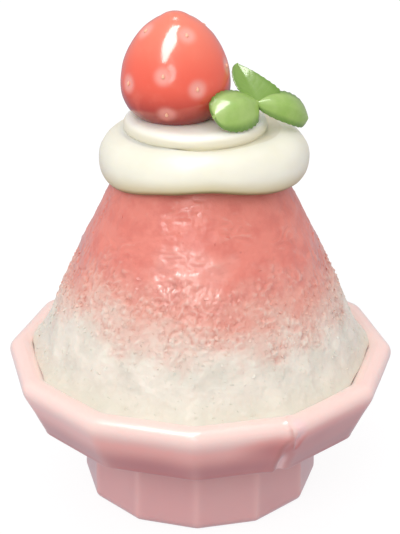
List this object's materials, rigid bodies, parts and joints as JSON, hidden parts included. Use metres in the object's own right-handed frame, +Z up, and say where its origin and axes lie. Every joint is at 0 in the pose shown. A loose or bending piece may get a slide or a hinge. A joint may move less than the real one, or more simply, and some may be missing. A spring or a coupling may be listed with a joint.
{
  "type": "shaved ice dessert",
  "caption": "Strawberry-syrup shaved ice heaped in a footed twelve-sided bowl, topped with whipped cream, a strawberry and a sprig of mint leaves.",
  "frame": {"origin": "centre of the bowl's foot, on the surface that it stands on", "axes": "+Z up along the bowl's axis; -Y towards the front, from where the mint sprig is on the right; +X to the right"},
  "size_m": [0.1274, 0.1274, 0.1603],
  "materials": {
    "glazed_bowl": "glossy pink glaze",
    "syrup_ice": "wet shaved ice, syrup pink above fading to white below",
    "cream": "smooth soft whipped cream",
    "berry": "glossy ripe strawberry skin with pale dimples and seeds",
    "leaf": "fresh mint leaf, soft sheen"
  },
  "bodies": {
    "root": {"bowl": "glazed_bowl", "shaved_ice": "syrup_ice", "whipped_cream": "cream", "strawberry": "berry", "mint_sprig": "leaf"}
  },
  "joints": []
}
